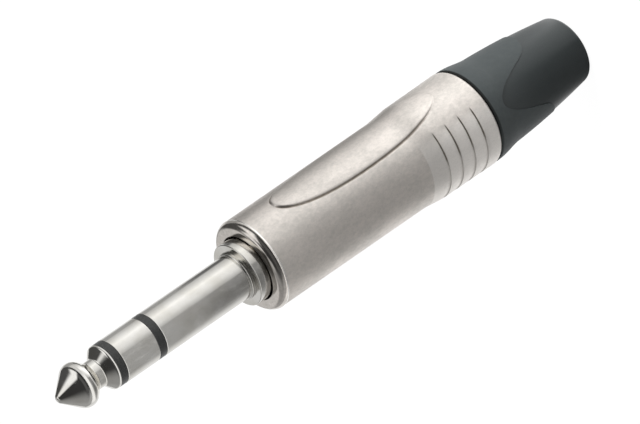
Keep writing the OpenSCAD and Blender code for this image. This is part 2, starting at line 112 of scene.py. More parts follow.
def turned(outline):
    """Rings of points: an outline swept round the axis. A long face gets a row close to each of its
    ends, so that the broken edges don't bend the light on it."""
    columns = 176
    long_face = 0.4
    margin = 0.04
    rows = []
    for here, ahead in zip(outline, outline[1:] + outline[:1]):
        rows.append(here)
        length = math.dist(here, ahead)
        if length > long_face and here[0] + ahead[0] > 0:
            rows.append(tuple(Vector(here).lerp(Vector(ahead), margin / length)))
            rows.append(tuple(Vector(here).lerp(Vector(ahead), 1 - margin / length)))
    outline = np.array(rows)
    turn = np.arange(columns) * 2 * math.pi / columns
    x = outline[:, :1] * np.cos(turn)
    y = outline[:, :1] * np.sin(turn)
    return np.stack([x, y, np.repeat(outline[:, 1:], columns, 1)], axis=2)


def skin(bm, rings, close="joined"):
    """Adds a skin over rings of points. Its first and last ring are joined, open or capped."""
    rows, columns = rings.shape[:2]
    dots = [[bm.verts.new(point / 1000) for point in ring] for ring in rings]
    for i in range(rows if close == "joined" else rows - 1):
        for j in range(columns):
            below, beside = (i + 1) % rows, (j + 1) % columns
            bm.faces.new((dots[i][j], dots[i][beside], dots[below][beside], dots[below][j]))
    if close == "capped":
        bm.faces.new(dots[0])
        bm.faces.new(dots[-1])


def piece(name, bm, material, body, crease=38):
    """Makes an object of a mesh, shades it smooth up to a crease and fixes it to a body of the frame."""
    weld = 2e-7
    bmesh.ops.remove_doubles(bm, verts=bm.verts, dist=weld)
    bmesh.ops.dissolve_degenerate(bm, edges=bm.edges, dist=weld / 2)
    bmesh.ops.recalc_face_normals(bm, faces=bm.faces)
    mesh = bpy.data.meshes.new(name)
    bm.to_mesh(mesh)
    bm.free()
    mesh.shade_smooth()
    mesh.set_sharp_from_angle(angle=math.radians(crease))
    mesh.materials.append(material)
    made = bpy.data.objects.new(name, mesh)
    bpy.context.scene.collection.objects.link(made)
    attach(made, body)
    return made


class Wire:
    """An output in a node tree. Arithmetic on wires adds the Math nodes that work it out."""

    def __init__(self, tree, socket=None):
        self.tree = tree
        self.socket = socket

    def add(self, kind, settings=None, values=None, output=0):
        """A node by its type, its settings and the values or wires of its inputs."""
        node = self.tree.nodes.new("ShaderNode" + kind)
        for name, value in (settings or {}).items():
            if name == "stops":
                ramp = node.color_ramp.elements
                while len(ramp) < len(value):
                    ramp.new(1.0)
                for stop, (place, grey) in zip(ramp, value):
                    stop.position = place
                    stop.color = (grey, grey, grey, 1.0)
            else:
                setattr(node, name, value)
        for name, value in (values or {}).items():
            if isinstance(value, Wire):
                self.tree.links.new(value.socket, node.inputs[name])
            else:
                node.inputs[name].default_value = value
        return Wire(self.tree, node.outputs[output])

    def other(self, output):
        """Another output of the same node."""
        return Wire(self.tree, self.socket.node.outputs[output])

    def math(self, operation, *values):
        """A Math operation on wires or numbers."""
        return self.add("Math", {"operation": operation}, dict(enumerate(values)))

    def __abs__(self):
        return self.math("ABSOLUTE", self)

    def __add__(self, other):
        return self.math("ADD", self, other)

    def __sub__(self, other):
        return self.math("SUBTRACT", self, other)

    def __rsub__(self, other):
        return self.math("SUBTRACT", other, self)

    def __mul__(self, other):
        return self.math("MULTIPLY", self, other)

    def __truediv__(self, other):
        return self.math("DIVIDE", self, other)

    def __pow__(self, other):
        return self.math("POWER", self, other)

    __radd__ = __add__
    __rmul__ = __mul__

    def at_least(self, other):
        """The larger of this wire and another."""
        return self.math("MAXIMUM", self, other)

    def angle(self, along):
        """Degrees of a direction that goes this far up and that far along."""
        return self.math("ARCTAN2", self, along) * (180 / math.pi)

    def toward(self, goal, share):
        """This wire moved towards a goal, by a share between 0 and 1."""
        return self + (goal - self) * share

    def rise(self, low, high):
        """0 below low and 1 above high, with a smooth step between."""
        values = {"Value": self, "From Min": low, "From Max": high}
        return self.add("MapRange", {"interpolation_type": "SMOOTHSTEP"}, values)

    def mix(self, first, second):
        """A colour that goes from the first to the second as this wire goes from 0 to 1."""
        return self.add("Mix", {"data_type": "RGBA"}, {0: self, 6: first, 7: second}, 2)

    def parts(self):
        """The x, y and z of a vector."""
        x = self.add("SeparateXYZ", {}, {0: self})
        return x, x.other(1), x.other(2)

    def place(self):
        """Where a point of the piece lies: x, y and z in millimetres."""
        return [part * 1000 for part in self.add("TexCoord", output="Object").parts()]

    def noise(self, stretch, detail=2.0, roughness=0.5):
        """Noise over the piece, with so many features a millimetre along x, y and z."""
        place = self.add("TexCoord", output="Object")
        scaled = self.add("VectorMath", {"operation": "MULTIPLY"},
                          {0: place, 1: [1000 * each for each in stretch]})
        return self.add("TexNoise", {}, {"Vector": scaled, "Scale": 1.0, "Detail": detail,
                                         "Roughness": roughness})

    def bump(self, height, depth):
        """A normal for a relief whose full height is so many millimetres."""
        return self.add("Bump", {}, {"Height": height, "Distance": depth / 1000, "Strength": 1.0})


def finish(name, colour, metallic, roughness):
    """A new material: returns it, a wire to start from and a function that links its inputs. The
    plain colour and roughness hold where the nodes aren't read."""
    made = bpy.data.materials.new(name)
    made.use_nodes = True
    tree = made.node_tree
    shader = tree.nodes["Principled BSDF"]
    shader.inputs["Base Color"].default_value = (*colour, 1.0)
    shader.inputs["Metallic"].default_value = metallic
    shader.inputs["Roughness"].default_value = roughness

    def feed(**wires):
        for key, wire in wires.items():
            tree.links.new(wire.socket, shader.inputs[key.replace("_", " ")])

    return made, Wire(tree), feed


def turned_nickel(name, dull, lines):
    """Bright nickel on turned brass, so dull and with tool lines so deep: fine rings from the tool,
    faint wipe marks and warm haze."""
    made, start, feed = finish(name, (0.76, 0.74, 0.70), 1.0, dull)
    rings = start.noise((0.05, 0.05, 9.0), 3.0, 0.6)
    fine = start.noise((0.08, 0.08, 34.0), 2.0)
    wipes = start.noise((1.6, 1.6, 0.35), 4.0, 0.6)
    haze = start.noise((0.35, 0.35, 0.3), 3.0)
    feed(Base_Color=haze.rise(0.35, 0.7).mix((0.79, 0.775, 0.74, 1), (0.70, 0.68, 0.63, 1)),
         Roughness=dull + 0.10 * wipes.rise(0.45, 0.75) + 0.06 * rings,
         Normal=start.bump(rings * 0.7 + fine * 0.3, lines))
    return made


bm = bmesh.new()
skin(bm, turned(tip_outline), "open")
tip = piece("tip_turned", bm, turned_nickel("tip_nickel", 0.05, 0.0004), "plug")
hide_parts("tip_contact")

# The two insulators are moulded in dark plastic: a band that shows between two contacts, on a thin
# tube that lines them. The bands are pressed tight and turned flush, so their edges hardly break.
ring_back_z, ring_front_z = ends("ring_contact")
sleeve_back_z, sleeve_front_z = ends("sleeve_contact")
barrel_r = 3.175
band_r = barrel_r - 0.025
band_edge = 0.03


def eased(outline, size):
    """A closed outline with each sharp corner broken, as a tool or a tumbling drum leaves it."""
    count = len(outline)
    longest = 0.4
    flattest = math.radians(150)
    result = []
    for i, here in enumerate(outline):
        here = Vector(here)
        back = Vector(outline[i - 1]) - here
        ahead = Vector(outline[(i + 1) % count]) - here
        room = min(size, back.length * longest, ahead.length * longest)
        if here.x < 1e-6 or room < 1e-4 or back.angle(ahead) > flattest:
            result.append(tuple(here))
            continue
        first = here + back.normalized() * room
        last = here + ahead.normalized() * room
        middle = (first + last + 2 * here) / 4
        result += [tuple(first), tuple(middle), tuple(last)]
    return result


def dark_plastic():
    """Moulded insulator: almost black, with faint turning marks where it was faced flush."""
    made, start, feed = finish("insulator_plastic", (0.03, 0.03, 0.029), 0.0, 0.3)
    rings = start.noise((0.1, 0.1, 14.0), 2.0)
    specks = start.noise((5.0, 5.0, 5.0), 3.0)
    feed(Base_Color=specks.rise(0.4, 0.75).mix((0.024, 0.025, 0.024, 1), (0.042, 0.042, 0.040, 1)),
         Roughness=0.28 + 0.16 * rings,
         Normal=start.bump(rings * 0.6 + specks * 0.4, 0.0012))
    return made


insulator_finish = dark_plastic()
for node, band_back_z, inner_r, tube_r in (("tip_insulator", ring_front_z, 1.02, 1.40),
                                           ("ring_insulator", sleeve_front_z, 1.92, 2.30)):
    tube_back_z, band_front_z = ends(node)
    outline = [(inner_r, tube_back_z), (tube_r, tube_back_z), (tube_r, band_back_z),
               (band_r, band_back_z), (band_r, band_front_z), (inner_r, band_front_z)]
    bm = bmesh.new()
    skin(bm, turned(eased(outline, band_edge)))
    band = piece(node + "_band", bm, insulator_finish, "plug")
    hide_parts(node)

# The ring contact is a plated brass band on a tube, whose rear end is rolled out over its solder
# lug. Both edges of the band are broken with a small chamfer.
ring_band_z = ends("ring_insulator")[1]
ring_bore_r = 1.42
ring_tube_r = 1.90
roll_r = 2.30
roll_front_z = ring_back_z + 0.45
contact_edge = 0.07
ring_outline = [(ring_bore_r, ring_back_z), (roll_r, ring_back_z), (roll_r, roll_front_z),
                (ring_tube_r, roll_front_z), (ring_tube_r, ring_band_z), (barrel_r, ring_band_z),
                (barrel_r, ring_front_z), (ring_bore_r, ring_front_z)]
bm = bmesh.new()
skin(bm, turned(eased(ring_outline, contact_edge)))
barrel_finish = turned_nickel("barrel_nickel", 0.09, 0.0009)
ring = piece("ring_turned", bm, barrel_finish, "plug")
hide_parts("ring_contact")

# The sleeve contact is turned in one piece with the bead at its foot, the collar that shows in
# front of the shell, the flange behind the shell's wall and the hub that carries the earth lug.
sleeve_bore_r = 2.32
collar_z = 59.8
collar_r = 4.5
collar_round = 0.15
bead_z = 60.3
bead_r = 3.4
bead_round = 0.2
corner = 0.02
bead_chamfer = 0.03
flange_r = 5.3
flange_back_z = 54.05
flange_front_z = 56.2
hub_r = 3.42
key_r = 5.7
key_foot_r = 4.9
key_half = 0.7
key_chamfer = (0.08, 0.1)
key_edge = 0.06
sleeve_outline = (
    [(sleeve_bore_r, sleeve_back_z), (hub_r, sleeve_back_z), (hub_r, flange_back_z),
     (flange_r, flange_back_z), (flange_r, flange_front_z), (collar_r, flange_front_z)]
    + arc(collar_r - collar_round, collar_z - collar_round, collar_round, 0, 90, 5)
    + [(bead_r + corner, collar_z), (bead_r, collar_z + corner)]
    + arc(bead_r - bead_round, bead_z - bead_round, bead_round, 0, 80, 5)
    + [(barrel_r + corner, bead_z), (barrel_r, bead_z + bead_chamfer), (barrel_r, sleeve_front_z),
       (sleeve_bore_r, sleeve_front_z)])
bm = bmesh.new()
skin(bm, turned(eased(sleeve_outline, contact_edge)))
key_side_r = key_r - key_chamfer[0]
key_top_half = key_half - key_chamfer[1]
key_ring = ((-key_foot_r, -key_half), (-key_side_r, -key_half), (-key_r, -key_top_half),
            (-key_r, key_top_half), (-key_side_r, key_half), (-key_foot_r, key_half))
key_rows = ((flange_back_z, key_edge), (flange_back_z + key_edge, 0.0),
            (flange_front_z - key_edge, 0.0), (flange_front_z, key_edge))
skin(bm, np.array([[(x + inset * (x < -key_foot_r), y * (1 - inset), z) for x, y in key_ring]
                   for z, inset in key_rows]), "capped")
sleeve = piece("sleeve_turned", bm, barrel_finish, "plug")
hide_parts("sleeve_contact")

# Three solder lugs, stamped from brass strip and tin plated, stay as the frame has them. Dull
# plate, brown spots where the tin is thin, and grain left by rolling.


def coat(material, *nodes):
    """Gives a material to pieces that stay as the frame has them."""
    for node in nodes:
        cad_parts[node].material_slots[0].material = material


made, start, feed = finish("tinned_lug", (0.78, 0.73, 0.60), 1.0, 0.34)
rolled = start.noise((3.0, 3.0, 0.5), 3.0)
spots = start.noise((1.1, 1.1, 1.1), 4.0, 0.65)
feed(Base_Color=spots.rise(0.56, 0.72).mix((0.80, 0.77, 0.68, 1), (0.62, 0.49, 0.28, 1)),
     Roughness=0.28 + 0.2 * spots,
     Normal=start.bump(rolled, 0.003))
coat(made, "sleeve_lug", "ring_lug", "tip_lug")

# Two washers punched from brown laminate keep the lugs apart. Fibres show on their faces and dark
# layers on their cut edges.
made, start, feed = finish("laminate_washer", (0.16, 0.11, 0.08), 0.0, 0.6)
fibres = start.noise((0.7, 5.0, 1.2), 4.0, 0.6)
layers = start.noise((0.2, 0.2, 9.0), 2.0)
feed(Base_Color=(fibres * 0.6 + layers * 0.4).mix((0.085, 0.052, 0.034, 1), (0.25, 0.18, 0.13, 1)),
     Roughness=0.5 + 0.2 * fibres,
     Normal=start.bump(fibres, 0.008))
coat(made, "front_lug_washer", "rear_lug_washer")

# The shell is a zinc die casting with satin nickel plate, tapered towards the front. At the rear it
# flares into a grip with four saw-tooth ribs each side, and between the ribs it has two raised oval
# fields. Inside are the bore with its keyway and the thread for the bushing.
rim_z, face_z = ends("shell")
shell_r = 6.52
taper = 0.12
flare = 0.35
grip_taper = 0.10
flare_z = 31.9
flare_back_z = 28.0
front_round = 0.95
rim_round = 0.45
ribs_z = (21.5, 23.75, 26.0, 28.25)
ribs_end_z = 31.5
rib_depth = 0.16
rib_step = (-0.07, -0.03, 0.02, 0.06)
rib_end = 52
rib_fade = 7
rib_reach = 70
oval_z = 38.1
oval_half_len = 14.1
oval_half_angle = 31.5
oval_skew = 0.04
oval_power = 2.2
oval_height = 0.2
oval_slope = 0.26
groove_depth = 0.045
groove_width = 0.08
hole_r = 4.7
wall_back_z = flange_front_z + 0.05
bore_r = 5.4
keyway_r = 5.8
keyway_half = 0.86
keyway_turns = (8.6, 8.45)
thread_top_z = 27.45
thread_bottom_r = 6.26
thread_crest_r = 5.78


def share(t):
    """A value held between 0 and 1."""
    return min(1.0, max(0.0, t))


def ease(t):
    """A smooth step from 0 to 1."""
    return share(t) ** 2 * (3 - 2 * share(t))


def shell_radius(z):
    """Radius of the shell at height z, without ribs and ovals."""
    return (shell_r + taper * share((face_z - z) / (face_z - flare_z))
            + flare * ease((flare_z - z) / (flare_z - flare_back_z))
            + grip_taper * share((flare_back_z - z) / (flare_back_z - rim_z)))


front_z = face_z - front_round
lip_places = [front_z + d for d in (-0.26, -0.20, -0.05, 0.0, 0.30)]


def lip(z):
    """The front rounding is turned after plating, and leaves a fine lip where it meets the side."""
    return float(np.interp(z, lip_places, (0.0, 0.004, 0.052, 0.056, 0.0)))


# The surface drops at each rib's step, over four rows, and climbs slowly to the next crest.
rib_places = [z + d for z in ribs_z for d in rib_step] + [ribs_end_z + rib_step[0]]
rib_depths = [0.0, 0.018, 0.148, rib_depth] * len(ribs_z) + [0.0]
# The cutter's centre is off the axis, so that the ribs are deepest at their middle.
cutter_shift = rib_depth / (1 - math.cos(math.radians(rib_reach)))


def oval_edge(z):
    """Half the angle that an oval covers at height z."""
    t = (oval_z - z) / oval_half_len
    return oval_half_angle * max(0.0, 1 - abs(t) ** oval_power) ** (1 / oval_power) * (1 - oval_skew * t)


# Columns of the shell's rings follow the edge of the ovals, so that it stays crisp. Each quarter is
# laid out from 0 at the middle of an oval to 1 at the middle of the ribs.
quarter = [0.0]
for end, count in ((0.4, 14), (0.5, 6), (0.6, 4), (0.68, 6), (0.93, 16)):
    quarter += list(np.linspace(quarter[-1], end, count + 1).round(4)[1:])
quarter += [0.9399, 0.96, 0.98]
half_turn = np.array([-u for u in reversed(quarter[1:])] + quarter)


def columns_at(places, degrees):
    """Angles of all columns round the shell, from degrees at some places of a quarter."""
    half = np.interp(np.abs(half_turn), places, degrees) * np.sign(half_turn)
    return np.radians(np.concatenate([half - 90, [0.0], half + 90, [180.0]]))


def outer_angles(z):
    """Columns on the outside: crowded at the edge of the oval and where the ribs fade out."""
    narrowest = 7.0
    crowded = math.degrees(0.16 / shell_r)
    edge = max(oval_edge(z), narrowest)
    end = 90 - rib_end
    return columns_at((0, 0.4, 0.5, 0.6, 0.68, 1.0),
                      (0, edge - crowded, edge + crowded, end, end + rib_fade, 90))


inner_angles = columns_at((0, 0.93, 0.9399, 1.0), (0, 90 - keyway_turns[0], 90 - keyway_turns[1], 90))
edge_line = np.array([(math.radians(oval_edge(z)) * shell_radius(z), z)
                      for z in oval_z - oval_half_len * np.cos(np.linspace(0, math.pi, 500))])


def oval_rise(angles, z):
    """Height of the raised fields over the shell, with a soft slope and a slight groove at the foot.
    It fades at the rear end."""
    across = np.abs((np.degrees(angles) % 180) - 90)
    x = np.radians(across) * shell_radius(z)
    gap = np.hypot(edge_line[:, 0][None] - x[:, None], edge_line[:, 1][None] - z).min(axis=1)
    gap = np.where(across < oval_edge(z), gap, -gap)
    climb = np.clip((gap + 0.02) / oval_slope, 0, 1)
    groove = np.exp(-((gap + groove_width) / groove_width) ** 2)
    faint = 1 - 0.5 * ease(((oval_z - z) / oval_half_len - 0.7) / 0.3)
    return (oval_height * climb ** 2 * (3 - 2 * climb) - groove_depth * groove) * faint


def outer_radii(angles, z):
    """Radii of the shell's outside round one ring, with its lip, ribs and ovals."""
    plain = shell_radius(z) + lip(z)
    cutter_r = plain + cutter_shift - np.interp(z, rib_places, rib_depths)
    across = np.abs(np.cos(angles))
    ribbed = np.sqrt(cutter_r ** 2 - (cutter_shift * np.sin(angles)) ** 2) - cutter_shift * across
    fade = np.clip((rib_end - np.degrees(np.arccos(across))) / rib_fade, 0, 1)
    depth = np.maximum(0, plain - ribbed) * fade ** 2 * (3 - 2 * fade)
    return plain - depth + oval_rise(angles, z)


def ring_at(radii, angles, z):
    """A ring of points at height z. The radius is one for all or one for each angle."""
    radii = np.broadcast_to(radii, len(angles))
    return np.stack([radii * np.cos(angles), radii * np.sin(angles), np.full(len(angles), z)], axis=1)


# Rows of the outside lie close where the outline turns, and always on the ribs' steps.
rib_rows = rib_step + (0.12,)
closest = 0.025
heights = list(rim_z + rim_round + np.array([0.0, 0.3, 0.9, 1.5, 2.2, 2.8]))
heights += [z + d for z in ribs_z for d in rib_rows + (0.8, 1.4, 1.9)]
heights += list(np.linspace(ribs_end_z - 0.1, flare_z + 0.4, 5))
heights += list(oval_z - oval_half_len * np.cos(np.linspace(0, math.pi, 57)))
heights += [oval_z + s * (oval_half_len + d) for s in (-1, 1) for d in (0.03, 0.07, 0.12, 0.2, 0.4)]
heights += list(np.linspace(oval_z + oval_half_len + 0.8, front_z - 0.4, 4))
heights += [front_z - d for d in (0.34, 0.26, 0.20, 0.15, 0.10, 0.05, 0.0)]
heights = sorted(heights)
kept = heights[:1]
for z in heights[1:]:
    on_step = any(abs(z - step - d) < 1e-9 for step in ribs_z for d in rib_rows)
    if z - kept[-1] > closest or on_step:
        kept.append(z)
rim_arc = arc(shell_radius(rim_z + rim_round) - rim_round, rim_z + rim_round, rim_round, -90, 0, 8)
front_arc = arc(shell_radius(front_z) - front_round, front_z, front_round, 0, 90, 10)
inside = [(hole_r + 0.12, face_z), (hole_r + 0.03, face_z - 0.03), (hole_r, face_z - 0.12),
          (hole_r, wall_back_z), (bore_r, wall_back_z), (bore_r, thread_top_z),
          (thread_bottom_r, thread_top_z), (thread_bottom_r, rim_z + 0.35),
          (thread_bottom_r + 0.25, rim_z + 0.05), (thread_bottom_r + 0.32, rim_z)]
rings = [ring_at(r, outer_angles(z), z) for r, z in rim_arc[:-1]]
rings += [ring_at(outer_radii(outer_angles(z), z), outer_angles(z), z) for z in kept]
for r, z in front_arc[1:] + inside:
    angles = outer_angles(z) if z > wall_back_z else inner_angles
    radii = r + lip(z)
    if r == bore_r:
        in_key = (np.abs(np.sin(angles)) * keyway_r < keyway_half) & (np.cos(angles) < 0)
        radii = np.where(in_key, keyway_r / np.abs(np.cos(angles)), bore_r)
    rings.append(ring_at(radii, angles, z))
bm = bmesh.new()
skin(bm, np.array(rings))


def thread(bm, root_r, crest_r, low_z, high_z, phase):
    """One right-handed ridge of 1 mm pitch, which runs out at both ends. A phase of half a turn sets
    the shell's ridge between those of the bushing."""
    steps = 90
    run_out = steps * 0.6
    root_half = 0.41
    crest_half = 0.07
    sunk_r = root_r - math.copysign(0.06, crest_r - root_r)
    first = math.ceil(low_z + 0.5 - phase) + phase
    count = int((high_z - low_z - 1.0) * steps)
    ridge = []
    for k in range(count + 1):
        angle = 2 * math.pi * k / steps
        z = first + k / steps
        full = min(1.0, k / run_out, (count - k) / run_out)
        top_r = root_r + (crest_r - root_r) * full + (sunk_r - root_r) * (1 - full) * 0.5
        profile = ((sunk_r, -root_half), (top_r, -crest_half), (top_r, crest_half), (sunk_r, root_half))
        ridge.append([(r * math.cos(angle), r * math.sin(angle), z + dz) for r, dz in profile])
    skin(bm, np.array(ridge), "capped")


thread(bm, thread_bottom_r, thread_crest_r, rim_z + 0.2, thread_top_z - 0.1, 0.5)


def satin_nickel():
    """Satin plate on a blasted casting: grain, hair scratches and marks, painted shade as a brown line at
    the foot of the raised fields and in the corners of the ribs, a painted highlight over the grip and
    another along the lip of the front rounding."""
    made, start, feed = finish("satin_plate", (0.72, 0.68, 0.64), 1.0, 0.34)
    grain = start.noise((9.0, 9.0, 9.0), 3.0, 0.6)
    pits = start.noise((2.2, 2.2, 1.6), 4.0, 0.7)
    brushed = start.noise((7.0, 7.0, 0.8), 3.0, 0.6)
    hairs = start.noise((1.0, 7.0, 2.2), 2.0) * 2 - 1
    marks = start.noise((0.32, 0.32, 0.2), 4.0, 0.6)
    fine_hairs = (1 - abs(hairs) * 14).rise(0.0, 1.0)
    x, y, z = start.place()
    # How far a point is from the edge of an oval, by the curve of oval_edge.
    along = (oval_z - z) / oval_half_len
    edge = (1 - abs(along) ** oval_power).at_least(0.0) ** (1 / oval_power) * (1 - oval_skew * along)
    across = abs(x).angle(abs(y))
    foot = abs(across - edge * oval_half_angle) * math.radians(shell_r)
    # Painted shade: a dark brown line along the foot of each raised field.
    painted_crease_shade = (1 - foot.rise(0.09, 0.22)) * (1 - along.rise(0.6, 0.96)) * (along + 1).rise(0.0, 0.01) * 0.85
    # The ribs get painted shade in their corners over half of their length, and the grip gets a painted
    # highlight, a lighter base colour.
    ribs_start = 90 - rib_end
    shaded_rib_half = across.rise(ribs_start + 1, ribs_start + 9) * (x * y).rise(5, 15)
    for step in ribs_z:
        painted_crease_shade = painted_crease_shade + (1 - abs(z - step - 0.02).rise(0.05, 0.15)) * shaded_rib_half * 0.85
    on_grip = 1 - z.rise(ribs_end_z - 0.62, ribs_end_z - 0.42)
    # Painted highlight: the grip's base colour is mixed towards a lighter tone.
    painted_grip_light = across.rise(ribs_start - 2, ribs_start + 20) * on_grip
    polished = z.rise(front_z - 0.26, front_z - 0.14)
    # Painted highlight: a lighter band along the lip where the front rounding meets the side.
    painted_lip_highlight = 1 - abs(z - front_z + 0.12).rise(0.06, 0.14)
    tone = (marks * 0.5 + pits * 0.5).rise(0.3, 0.7).mix((0.82, 0.765, 0.715, 1), (0.62, 0.59, 0.55, 1))
    tone = (painted_grip_light * 0.65).mix(tone, (0.93, 0.90, 0.86, 1))
    tone = (fine_hairs * 0.25).mix(tone, (0.55, 0.52, 0.48, 1))
    # Painted shade: the crease lines are mixed towards dark brown.
    tone = (painted_crease_shade * (0.55 + 0.55 * pits)).mix(tone, (0.22, 0.175, 0.13, 1))
    tone = painted_lip_highlight.mix(tone, (0.82, 0.80, 0.77, 1))
    rough = 0.245 + 0.08 * marks + 0.10 * grain + 0.19 * pits
    relief = (grain * 0.3 + pits * 0.5 + brushed * 0.2) * (1 - 0.8 * polished)
    feed(Base_Color=tone, Roughness=rough.toward(0.15, polished), Normal=start.bump(relief, 0.0085))
    return made


shell = piece("shell_casting", bm, satin_nickel(), "plug", crease=42)
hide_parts("shell")

# The chuck is moulded in natural acetal: a half-round guard round the lugs, a keyed ring and six
# toothed jaws. It stays as the frame has it, with a slightly milky surface and flow marks.
made, start, feed = finish("natural_acetal", (0.86, 0.84, 0.77), 0.0, 0.42)
flow = start.noise((0.35, 0.35, 0.12), 3.0)
milky = start.noise((6.0, 6.0, 6.0), 2.0)
feed(Base_Color=flow.mix((0.84, 0.81, 0.72, 1), (0.88, 0.87, 0.82, 1)),
     Roughness=0.36 + 0.14 * flow,
     Normal=start.bump(milky * 0.7 + flow * 0.3, 0.003))
coat(made, "chuck")

# The hard part of the bushing is moulded in grey glass-filled nylon: the threaded spigot, the cone
# that squeezes the jaws, and two petals that grip the soft gland between two long U notches.
spigot_top_z = ends("bushing")[1]
spigot_root_r = 5.70
spigot_crest_r = 6.18
spigot_bore_r = 5.05
spigot_lead_r = 0.3
spigot_lead_z = 0.4
shoulder = 0.25
shoulder_drop = 0.02
cone_z = 19.75
seat_r = 4.3
seat_z = 13.75
floor_z = 13.15
core_z = 12.25
cable_r = 3.6
bushing_z = 18.8
rear_r = 4.82
front_gland_r = 6.47
bow = 0.9
petal_proud = 0.13
petal_flare = 0.44
petal_wall = 1.1
petal_round = 0.26
bond = 0.03
notch_top_z = 16.7
notch_len = 9.3
notch_width = 1.38
notch_corner = 12
notch_turn = -148.0
petal_back_z = notch_top_z - notch_len
bite = 0.1
moulded_edge = 0.05
broken_edge = 0.11


def gland_radius(z):
    """Radius of the soft gland, a slightly bowed cone."""
    u = z / bushing_z
    return rear_r + (front_gland_r - rear_r) * ((1 + bow) * u - bow * u * u)


def petal_radius(z):
    """Radius of the petals, which stand proud of the gland and flare to meet the shell's rim."""
    return gland_radius(z) + petal_proud + petal_flare * ease((z - bushing_z + 0.6) / 4 + 1)


def petal_outer(z):
    """The petals' radius with the front edge rounded."""
    over = share((z - (bushing_z - petal_round)) / petal_round)
    return petal_radius(z) - petal_round * (1 - math.sqrt(1 - over * over))


def core_radius(z):
    """Radius of the core that the petals grow from, which is their inner face too."""
    return petal_radius(z) - petal_wall


def petal_half_angle(z):
    """Half the angle that a petal spans at height z: a quarter turn less half of a U notch. The notch
    is a parabola, and takes the whole width where the petal's round end comes to nothing."""
    depth = share((notch_top_z - z) / notch_len) * notch_len
    rest = petal_radius(petal_back_z) + 0.1 - notch_width * math.sqrt(notch_len)
    notch_half = notch_width * math.sqrt(depth) + rest * (depth / notch_len) ** notch_corner
    return math.pi / 2 - math.asin(share(notch_half / petal_radius(z)))


def add_petal(bm, heights, centre):
    """A curved slab: its faces, its two sides where the notches are, and its two ends."""
    columns = 61
    steps = np.linspace(-1, 1, columns)
    loop = []
    for z in heights:
        angles = math.radians(centre) + petal_half_angle(z) * steps
        loop.append(np.concatenate([ring_at(petal_outer(z), angles, z),
                                    ring_at(core_radius(z), angles, z)[::-1]]))
    count = 2 * columns
    dots = [[bm.verts.new(point / 1000) for point in row] for row in loop]
    for i in range(len(dots) - 1):
        whole = min(petal_half_angle(heights[i]), petal_half_angle(heights[i + 1])) > math.pi / 2 - 1e-6
        for j in range(count):
            k = (j + 1) % count
            on_side = j in (columns - 1, count - 1)
            if not (on_side and whole):
                bm.faces.new((dots[i][j], dots[i][k], dots[i + 1][k], dots[i + 1][j]))
    for row in (dots[0], dots[-1]):
        for j in range(columns - 1):
            bm.faces.new((row[j], row[j + 1], row[count - 2 - j], row[count - 1 - j]))


# Rows of the petals crowd at both ends of the notch and over the rounded front edge.
wave = 0.5 - 0.5 * np.cos(np.linspace(0, math.pi, 70))
petal_rows = list(petal_back_z + notch_len * wave)
petal_rows += [bushing_z - d for d in (2.0, 1.7, 1.3, 0.9, 0.6, 0.3)]
petal_rows += [bushing_z - d for d in (petal_round, 0.18, 0.11, 0.06, 0.02, 0.0)]
bm = bmesh.new()
for quarter_turn in (90, 270):
    add_petal(bm, petal_rows, notch_turn + quarter_turn)
shoulder_z = bushing_z - shoulder_drop
core_outline = (
    [(cable_r, core_z)] + [(core_radius(z) + bite, z) for z in np.linspace(core_z, bushing_z - 0.45, 9)]
    + [(core_radius(bushing_z) + shoulder, shoulder_z), (spigot_root_r, shoulder_z),
       (spigot_root_r, spigot_top_z - spigot_lead_z), (spigot_root_r - spigot_lead_r, spigot_top_z),
       (spigot_bore_r, spigot_top_z), (spigot_bore_r, cone_z), (seat_r, seat_z), (seat_r, floor_z),
       (cable_r, floor_z)])
skin(bm, turned(eased(core_outline, moulded_edge)))
thread(bm, spigot_root_r, spigot_crest_r, bushing_z + 0.55, spigot_top_z - 0.1, 0.0)


def charcoal_nylon():
    """Spark-eroded mould texture on a bluish charcoal plastic, rubbed a little smoother in places, with
    painted shade, a dark band along the seam under the shell's rim that is deeper on one side."""
    made, start, feed = finish("charcoal_nylon", (0.055, 0.063, 0.065), 0.0, 0.5)
    texture = start.noise((6.5, 6.5, 6.5), 4.0, 0.65)
    coarse = start.noise((1.3, 1.3, 1.3), 3.0)
    rubbed = start.noise((0.25, 0.25, 0.18), 3.0)
    x, y, z = start.place()
    # Painted shade: a dark band on the bushing just under the shell's rim, deeper on one side.
    painted_rim_shade = z.rise(bushing_z - 0.34, bushing_z - 0.16) * (1 - z.rise(bushing_z, bushing_z + 0.05))
    painted_rim_shade = painted_rim_shade * (0.3 + 0.7 * (x - y).rise(-8.5, -3))
    mottle = (texture * 0.6 + coarse * 0.4).rise(0.3, 0.7)
    tone = mottle.mix((0.046, 0.056, 0.058, 1), (0.060, 0.071, 0.072, 1))
    feed(Base_Color=(painted_rim_shade * 0.85).mix(tone, (0.006, 0.006, 0.005, 1)),
         Roughness=0.44 + 0.14 * texture + 0.06 * rubbed + 0.3 * painted_rim_shade,
         Normal=start.bump(texture * 0.75 + coarse * 0.25, 0.012))
    return made


bushing = piece("bushing_moulding", bm, charcoal_nylon(), "screw_bushing")
edges = bushing.modifiers.new("broken edges", "BEVEL")
edges.width = broken_edge / 1000
edges.segments = 3
edges.limit_method = "ANGLE"
edges.angle_limit = math.radians(60)
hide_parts("bushing")

# The gland is a soft black elastomer moulded into the bushing: it fills the notches, lies under the
# petals and forms the rounded rear end with the cable hole, smoother and shinier than the petals.
lead_in = 0.25
rear_round = 0.8
under_petals_z = notch_top_z + 0.3
bond_z = core_z - bond
gland_outline = (
    [(cable_r + lead_in, 0)] + arc(gland_radius(rear_round) - rear_round, rear_round, rear_round, -90, -5, 8)
    + [(gland_radius(z), z) for z in np.linspace(rear_round + 0.15, under_petals_z, 40)]
    + [(core_radius(z) + 0.15, z) for z in np.linspace(under_petals_z, bond_z, 8)]
    + [(cable_r, bond_z), (cable_r, lead_in)])
bm = bmesh.new()
skin(bm, turned(eased(gland_outline, moulded_edge)))


